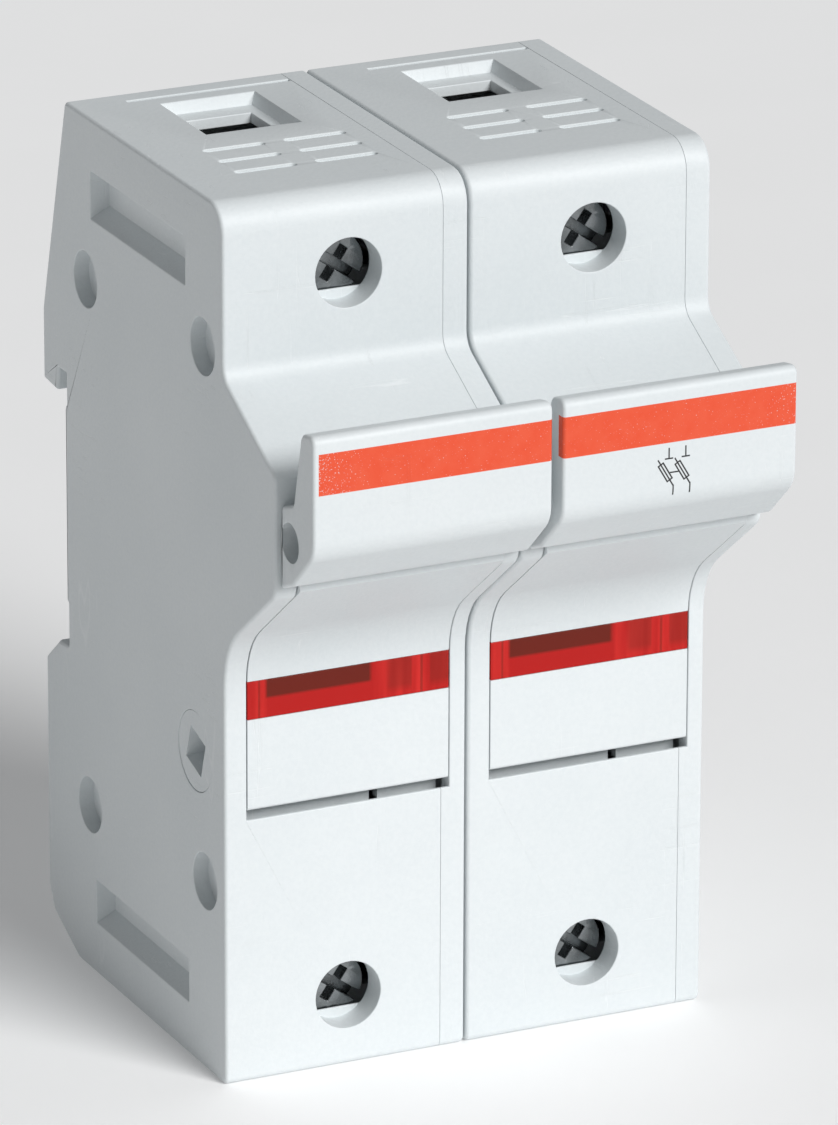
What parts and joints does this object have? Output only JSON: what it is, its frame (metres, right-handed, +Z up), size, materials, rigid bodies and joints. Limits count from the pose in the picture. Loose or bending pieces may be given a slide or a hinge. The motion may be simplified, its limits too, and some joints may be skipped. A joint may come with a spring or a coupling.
{
  "type": "modular fuse holder",
  "caption": "Rail-mounted modular fuse holder with tilting fuse carriers joined at their handles, screw terminals, sliding rail latches and indicator windows.",
  "frame": {"origin": "centre of the bounding box in plan, at the foot", "axes": "+X to the right as seen from the front, -Y to the front (handles), +Z up"},
  "size_m": [0.0698, 0.0848, 0.121],
  "materials": {
    "housing": "fine moulded texture, light grey-white",
    "cover": "fine moulded texture, light grey-white",
    "carrier": "smooth white moulding with a printed orange-red band",
    "lens": "translucent red",
    "circuit_board": "green laminate",
    "lamp_glass": "clear glass, orange glow electrode",
    "resistor_body": "lacquered",
    "spring_steel": "bright",
    "fuse_tube": "glass-fibre melamine tube",
    "fuse_caps": "silver-plated",
    "copper": "tin-plated copper",
    "terminal_steel": "zinc-plated",
    "latch_plastic": "grey moulding",
    "pin_plastic": "moulded",
    "tie_steel": "drawn rod"
  },
  "bodies": {
    "housing": {"shell_1": "housing", "cover_1": "cover", "top_jaw_1": "copper", "foot_jaw_1": "copper", "jaw_springs_1": "spring_steel", "latch_spring_1": "spring_steel", "shell_2": "housing", "cover_2": "cover", "top_jaw_2": "copper", "foot_jaw_2": "copper", "jaw_springs_2": "spring_steel", "latch_spring_2": "spring_steel", "joining_pins": "pin_plastic"},
    "left_carrier": {"carrier_1": "carrier", "lens_1": "lens", "lamp_board_1": "circuit_board", "neon_lamp_1": "lamp_glass", "resistor_1": "resistor_body", "sense_springs_1": "spring_steel", "fuse_tube_1": "fuse_tube", "fuse_caps_1": "fuse_caps", "handle_tie": "tie_steel", "trunnion_coupler": "tie_steel"},
    "left_top_screw": {"top_screw_1": "terminal_steel"},
    "left_top_cage": {"top_cage_1": "terminal_steel"},
    "left_foot_screw": {"foot_screw_1": "terminal_steel"},
    "left_foot_cage": {"foot_cage_1": "terminal_steel"},
    "left_latch": {"latch_1": "latch_plastic"},
    "right_carrier": {"carrier_2": "carrier", "lens_2": "lens", "lamp_board_2": "circuit_board", "neon_lamp_2": "lamp_glass", "resistor_2": "resistor_body", "sense_springs_2": "spring_steel", "fuse_tube_2": "fuse_tube", "fuse_caps_2": "fuse_caps"},
    "right_top_screw": {"top_screw_2": "terminal_steel"},
    "right_top_cage": {"top_cage_2": "terminal_steel"},
    "right_foot_screw": {"foot_screw_2": "terminal_steel"},
    "right_foot_cage": {"foot_cage_2": "terminal_steel"},
    "right_latch": {"latch_2": "latch_plastic"}
  },
  "joints": [
    {"name": "left_carrier_tilt", "type": "hinge", "parent": "housing", "child": "left_carrier", "pos_m": [-0.0171, -0.00705, 0.0439], "axis": [1, 0, 0], "range_deg": [0, 70]},
    {"name": "left_top_cage_slide", "type": "slide", "parent": "housing", "child": "left_top_cage", "axis": [0, -1, 0], "range_m": [0, 0.006]},
    {"name": "left_top_screw_turn", "type": "hinge", "parent": "housing", "child": "left_top_screw", "pos_m": [-0.0171, -0.01185, 0.11], "axis": [0, 1, 0], "range_deg": [0, 2700]},
    {"name": "left_foot_cage_slide", "type": "slide", "parent": "housing", "child": "left_foot_cage", "axis": [0, -1, 0], "range_m": [0, 0.006]},
    {"name": "left_foot_screw_turn", "type": "hinge", "parent": "housing", "child": "left_foot_screw", "pos_m": [-0.0171, -0.01185, 0.0099], "axis": [0, 1, 0], "range_deg": [0, 2700]},
    {"name": "left_latch_slide", "type": "slide", "parent": "housing", "child": "left_latch", "axis": [0, 0, -1], "range_m": [0, 0.0028], "stiffness_N_per_m": 900, "springref_m": -0.002, "deforming": ["latch_spring_1"]},
    {"name": "right_carrier_tilt", "type": "hinge", "parent": "housing", "child": "right_carrier", "pos_m": [0.0179, -0.00705, 0.0439], "axis": [1, 0, 0], "range_deg": [0, 70]},
    {"name": "right_top_cage_slide", "type": "slide", "parent": "housing", "child": "right_top_cage", "axis": [0, -1, 0], "range_m": [0, 0.006]},
    {"name": "right_top_screw_turn", "type": "hinge", "parent": "housing", "child": "right_top_screw", "pos_m": [0.0179, -0.01185, 0.11], "axis": [0, 1, 0], "range_deg": [0, 2700]},
    {"name": "right_foot_cage_slide", "type": "slide", "parent": "housing", "child": "right_foot_cage", "axis": [0, -1, 0], "range_m": [0, 0.006]},
    {"name": "right_foot_screw_turn", "type": "hinge", "parent": "housing", "child": "right_foot_screw", "pos_m": [0.0179, -0.01185, 0.0099], "axis": [0, 1, 0], "range_deg": [0, 2700]},
    {"name": "right_latch_slide", "type": "slide", "parent": "housing", "child": "right_latch", "axis": [0, 0, -1], "range_m": [0, 0.0028], "stiffness_N_per_m": 900, "springref_m": -0.002, "deforming": ["latch_spring_2"]}
  ],
  "couplings": [
    {"joint": "left_top_screw_turn", "follows": "left_top_cage_slide", "rad_per_m": 7854},
    {"joint": "left_foot_screw_turn", "follows": "left_foot_cage_slide", "rad_per_m": 7854},
    {"joint": "right_top_screw_turn", "follows": "right_top_cage_slide", "rad_per_m": 7854},
    {"joint": "right_foot_screw_turn", "follows": "right_foot_cage_slide", "rad_per_m": 7854},
    {"joint": "right_carrier_tilt", "follows": "left_carrier_tilt", "ratio": 1}
  ]
}
